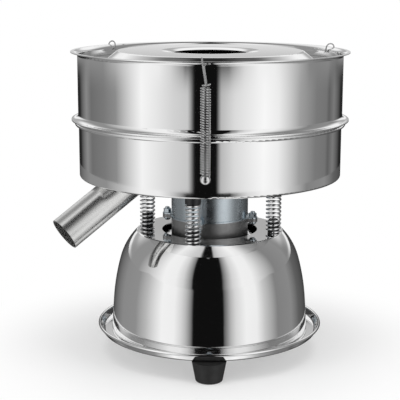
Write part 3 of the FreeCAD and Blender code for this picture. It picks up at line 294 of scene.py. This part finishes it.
class Finish:
    """A node-built surface finish."""

    def __init__(self, name, color, metallic=0.0, roughness=0.5):
        self.material = bpy.data.materials.new(name)
        self.material.use_nodes = True
        self.tree = self.material.node_tree
        self.bsdf = self.tree.nodes["Principled BSDF"]
        self.bsdf.inputs["Metallic"].default_value = metallic
        self.bsdf.inputs["Roughness"].default_value = roughness
        self.bsdf.inputs["Base Color"].default_value = (*color, 1)
        self.color, self.roughness = color, roughness
        self.height = None

    def add(self, kind, **values):
        made = self.tree.nodes.new(kind)
        for name, value in values.items():
            if hasattr(made, name):
                setattr(made, name, value)
            else:
                made.inputs[name.replace("_", " ")].default_value = value
        return made

    def join(self, output, socket):
        self.tree.links.new(output, socket)

    def place(self, stretch=(1, 1, 1), turn=(0, 0, 0)):
        """Coordinates in the row frame, in metres, stretched and turned."""
        coordinates = self.add("ShaderNodeTexCoord")
        mapping = self.add("ShaderNodeMapping")
        mapping.inputs["Scale"].default_value = stretch
        mapping.inputs["Rotation"].default_value = turn
        self.join(coordinates.outputs["Object"], mapping.inputs["Vector"])
        return mapping.outputs[0]

    def round_place(self, across, around, centre=(0, 0)):
        """Coordinates that run along circles about an upright axis: radius, height and angle."""
        coordinates = self.add("ShaderNodeTexCoord")
        split = self.add("ShaderNodeSeparateXYZ")
        self.join(coordinates.outputs["Object"], split.inputs[0])
        x = self.math("SUBTRACT", split.outputs["X"], centre[0])
        y = self.math("SUBTRACT", split.outputs["Y"], centre[1])
        squares = self.math("ADD", self.math("MULTIPLY", x, x), self.math("MULTIPLY", y, y))
        radius = self.math("SQRT", squares)
        angle = self.math("ARCTAN2", y, x)
        merge = self.add("ShaderNodeCombineXYZ")
        self.join(self.math("MULTIPLY", radius, across), merge.inputs["X"])
        self.join(self.math("MULTIPLY", split.outputs["Z"], across), merge.inputs["Y"])
        self.join(self.math("MULTIPLY", angle, around), merge.inputs["Z"])
        return merge.outputs[0]

    def math(self, operation, a, b=0.0):
        made = self.add("ShaderNodeMath", operation=operation)
        for value, socket in ((a, made.inputs[0]), (b, made.inputs[1])):
            if isinstance(value, (int, float)):
                socket.default_value = value
            else:
                self.join(value, socket)
        return made.outputs[0]

    def noise(self, vector, scale, detail=3.0, rough=0.5):
        made = self.add("ShaderNodeTexNoise")
        made.inputs["Scale"].default_value = scale
        made.inputs["Detail"].default_value = detail
        made.inputs["Roughness"].default_value = rough
        self.join(vector, made.inputs["Vector"])
        return made.outputs["Fac"]

    def between(self, value, low, high, start=0.3, end=0.7):
        made = self.add("ShaderNodeMapRange")
        made.inputs["From Min"].default_value = start
        made.inputs["From Max"].default_value = end
        made.inputs["To Min"].default_value = low
        made.inputs["To Max"].default_value = high
        self.join(value, made.inputs["Value"])
        return made.outputs["Result"]

    def vary_roughness(self, value, spread):
        self.join(self.between(value, self.roughness - spread, self.roughness + spread),
                  self.bsdf.inputs["Roughness"])

    def vary_color(self, value, other, start=0.3, end=0.7):
        mix = self.add("ShaderNodeMix", data_type="RGBA")
        mix.inputs["A"].default_value = (*self.color, 1)
        mix.inputs["B"].default_value = (*other, 1)
        self.join(self.between(value, 0, 1, start, end), mix.inputs["Factor"])
        self.join(mix.outputs["Result"], self.bsdf.inputs["Base Color"])

    def bump(self, value, distance, strength=1.0):
        made = self.add("ShaderNodeBump")
        made.inputs["Distance"].default_value = distance
        made.inputs["Strength"].default_value = strength
        self.join(value, made.inputs["Height"])
        if self.height is not None:
            self.join(self.height, made.inputs["Normal"])
        self.height = made.outputs[0]
        self.join(self.height, self.bsdf.inputs["Normal"])


def polished(name, color, roughness, spread, lines=2200.0, depth=4e-7):
    """Sheet metal polished in the lathe: faint rings, light cloudiness."""
    finish = Finish(name, color, 1.0, roughness)
    rings = finish.noise(finish.round_place(lines, 3.0), 1.0, 4.0, 0.6)
    clouds = finish.noise(finish.place(), 18.0, 4.0)
    finish.vary_roughness(clouds, spread)
    finish.vary_color(finish.noise(finish.place(), 9.0, 2.0), tuple(c * 0.96 for c in color))
    finish.bump(rings, depth)
    return finish


def plated(name, color, other, roughness, spread, scale=60.0):
    """Plated or drawn steel with spangle-like clouds."""
    finish = Finish(name, color, 1.0, roughness)
    clouds = finish.noise(finish.place(), scale, 5.0, 0.6)
    finish.vary_color(clouds, other)
    finish.vary_roughness(finish.noise(finish.place(), scale * 3), spread)
    finish.bump(finish.noise(finish.place(), 2500.0, 2.0), 1.5e-6)
    return finish


def grainy(name, color, other, roughness, metallic, grain, depth):
    """Cast or moulded surface with a fine grain."""
    finish = Finish(name, color, metallic, roughness)
    fine = finish.noise(finish.place(), grain, 4.0, 0.65)
    finish.vary_color(finish.noise(finish.place(), grain / 12, 3.0), other)
    finish.vary_roughness(fine, min(roughness, 1 - roughness, 0.1))
    finish.bump(fine, depth)
    return finish


def drawn_along(name, color, roughness, spread, turn, depth=1.5e-6):
    """Tube with fine streaks along its length."""
    finish = Finish(name, color, 1.0, roughness)
    streaks = finish.noise(finish.place((260, 2600, 2600), turn), 1.0, 4.0, 0.6)
    finish.vary_roughness(streaks, spread)
    finish.vary_color(streaks, tuple(c * 0.9 for c in color))
    finish.bump(streaks, depth)
    return finish


def woven(name, pitch):
    """Square wire weave, with painted shade: the openings between the wires are coloured near black."""
    finish = Finish(name, (0.62, 0.62, 0.62), 1.0, 0.3)
    place = finish.place((1 / pitch, 1 / pitch, 1 / pitch))
    split = finish.add("ShaderNodeSeparateXYZ")
    finish.join(place, split.inputs[0])
    turn = 2 * math.pi
    warp = finish.math("SINE", finish.math("MULTIPLY", split.outputs["X"], turn))
    weft = finish.math("SINE", finish.math("MULTIPLY", split.outputs["Y"], turn))
    weave_and_gap_shade = finish.math("MAXIMUM", warp, weft)
    # Painted shade: where neither wire runs, the openings are coloured near black (0.08) in place of
    # the shade through them.
    finish.vary_color(weave_and_gap_shade, (0.08, 0.08, 0.08), 0.2, -0.6)
    finish.bump(weave_and_gap_shade, pitch * 0.3)
    return finish


BLACK = (0.012, 0.012, 0.013)
RUBBER = (0.009, 0.009, 0.009)
SPOUT_TURN = (0, math.radians(33.1), math.radians(-30.6))
SCREEN_PITCH = 0.00055
FINISHES = {
    "mirror_stainless": polished("mirror_sheet", (0.97, 0.97, 0.97), 0.045, 0.015),
    "bowl": polished("bowl_sheet", (0.96, 0.96, 0.96), 0.055, 0.015),
    "satin_stainless": polished("satin_sheet", (0.86, 0.86, 0.86), 0.16, 0.04),
    "spout": drawn_along("spout_tube", (0.86, 0.86, 0.85), 0.27, 0.04, SPOUT_TURN, 4e-7),
    "wire_mesh": woven("screen_weave", SCREEN_PITCH),
    "bright_spring": plated("spring_wire", (0.93, 0.93, 0.93), (0.82, 0.82, 0.83), 0.12, 0.04),
    "black_seat": grainy("moulded_seat", BLACK, (0.02, 0.02, 0.022), 0.35, 0.0, 900.0, 6e-6),
    "black_rubber": grainy("foot_rubber", RUBBER, (0.016, 0.016, 0.016), 0.55, 0.0, 1400.0, 1.2e-5),
    "zinc_steel": plated("zinc_plate", (0.60, 0.66, 0.70), (0.54, 0.60, 0.64), 0.26, 0.03, 25.0),
    # Painted shade: the clamp springs' wire gets a darker base colour than the other spring wire,
    # standing in for the shade between its close turns.
    "clamp_wire": plated("clamp_wire", (0.62, 0.62, 0.62), (0.50, 0.50, 0.50), 0.16, 0.04),
    "stainless_fastener": plated("turned_stainless", (0.8, 0.8, 0.8), (0.68, 0.68, 0.68), 0.2, 0.05),
    "cast_aluminium": grainy("casting", (0.42, 0.42, 0.42), (0.33, 0.33, 0.33),
                             0.45, 1.0, 900.0, 2.5e-5),
    "lamination": grainy("laminated_steel", (0.22, 0.22, 0.23), (0.15, 0.15, 0.16),
                         0.5, 1.0, 1500.0, 1e-5),
    "copper_winding": grainy("varnished_copper", (0.62, 0.27, 0.11), (0.45, 0.17, 0.06),
                             0.35, 0.9, 800.0, 4e-5),
    "shaft_steel": plated("ground_steel", (0.68, 0.68, 0.68), (0.55, 0.55, 0.55), 0.22, 0.06),
    "weight_iron": grainy("cast_weight", (0.16, 0.16, 0.16), (0.10, 0.10, 0.10), 0.5, 1.0, 700.0, 3e-5),
    "black_plastic": grainy("moulded_plastic", (0.016, 0.016, 0.016), (0.024, 0.024, 0.024),
                            0.4, 0.0, 1800.0, 5e-6),
}
OWN_FINISH = {
    "base_bowl": "bowl", "discharge_spout": "spout", "base_tray": "mirror_stainless",
    "clamp_spring_front": "clamp_wire", "clamp_spring_right": "clamp_wire",
    "clamp_spring_left": "clamp_wire",
}


def finish_nodes():
    """Gives each CAD node the finish of its slot, or one of its own."""
    slots = {row["node"]: row["material_slot"] for row in frame["record"]["subparts"]}
    for name, obj in frame["nodes"].items():
        finish = FINISHES[OWN_FINISH.get(name, slots[name])]
        obj.data.materials.clear()
        obj.data.materials.append(finish.material)


finish_nodes()

# ---------------------------------------------------------------- wire forms


def tube(name, line, radius, sides=14):
    """A round wire along a line of points, with closed ends."""
    line = np.array(line, float)
    tangents = np.gradient(line, axis=0)
    tangents /= np.linalg.norm(tangents, axis=1)[:, None]
    side = np.cross(tangents[0], (0.3, 0.5, 0.81))
    side /= np.linalg.norm(side)
    points, faces = [], []
    angles = np.arange(sides) * 2 * math.pi / sides
    for here, tangent in zip(line, tangents):
        side = side - tangent * side.dot(tangent)
        side /= np.linalg.norm(side)
        other = np.cross(tangent, side)
        points += [here + radius * (math.cos(a) * side + math.sin(a) * other) for a in angles]
    for r in range(len(line) - 1):
        for c in range(sides):
            n = (c + 1) % sides
            faces.append((r * sides + c, r * sides + n, (r + 1) * sides + n, (r + 1) * sides + c))
    faces.append(tuple(range(sides - 1, -1, -1)))
    last = (len(line) - 1) * sides
    faces.append(tuple(last + c for c in range(sides)))
    return mesh_object(name, points, faces)


def turned_line(line, azimuth, centre):
    """A line turned about Z and moved to its place."""
    c, s = math.cos(azimuth), math.sin(azimuth)
    return [(centre[0] + x * c - y * s, centre[1] + x * s + y * c, centre[2] + z) for x, y, z in line]


SUSPENSION_WIRE = 0.0011
SUSPENSION_MEAN = 0.0080
SUSPENSION_OPEN_TURNS = 8.5
SUSPENSION_END_TURNS = 0.5
SUSPENSION_END_PITCH = 0.00242
STEPS_PER_TURN = 40


def suspension_line(height):
    """A half turn laid close at each end, and open turns of one pitch between."""
    total = SUSPENSION_OPEN_TURNS + 2 * SUSPENSION_END_TURNS
    open_pitch = (height - 2 * SUSPENSION_END_TURNS * SUSPENSION_END_PITCH) / SUSPENSION_OPEN_TURNS
    marks = (0, SUSPENSION_END_TURNS, total - SUSPENSION_END_TURNS, total)
    end_rise = SUSPENSION_END_TURNS * SUSPENSION_END_PITCH
    levels = (0, end_rise, end_rise + open_pitch * SUSPENSION_OPEN_TURNS, height)
    turns = np.linspace(0, total, int(total * STEPS_PER_TURN) + 1)
    angles = 2 * math.pi * turns
    return list(zip(SUSPENSION_MEAN * np.cos(angles), SUSPENSION_MEAN * np.sin(angles),
                    np.interp(turns, marks, levels)))


def make_suspension():
    for side in ("front", "right", "rear", "left"):
        node = "suspension_spring_" + side
        low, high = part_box(node)
        centre = (low + high) / 2
        line = suspension_line(high.z - low.z - 2 * SUSPENSION_WIRE)
        azimuth = math.atan2(centre.y, centre.x)
        foot = (centre.x, centre.y, low.z + SUSPENSION_WIRE)
        line = turned_line(line, azimuth - math.pi / 2, foot)
        spring = tube("coil_" + side, line, SUSPENSION_WIRE)
        spring.data.materials.append(FINISHES["bright_spring"].material)
        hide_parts(node)
        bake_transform(spring)


make_suspension()
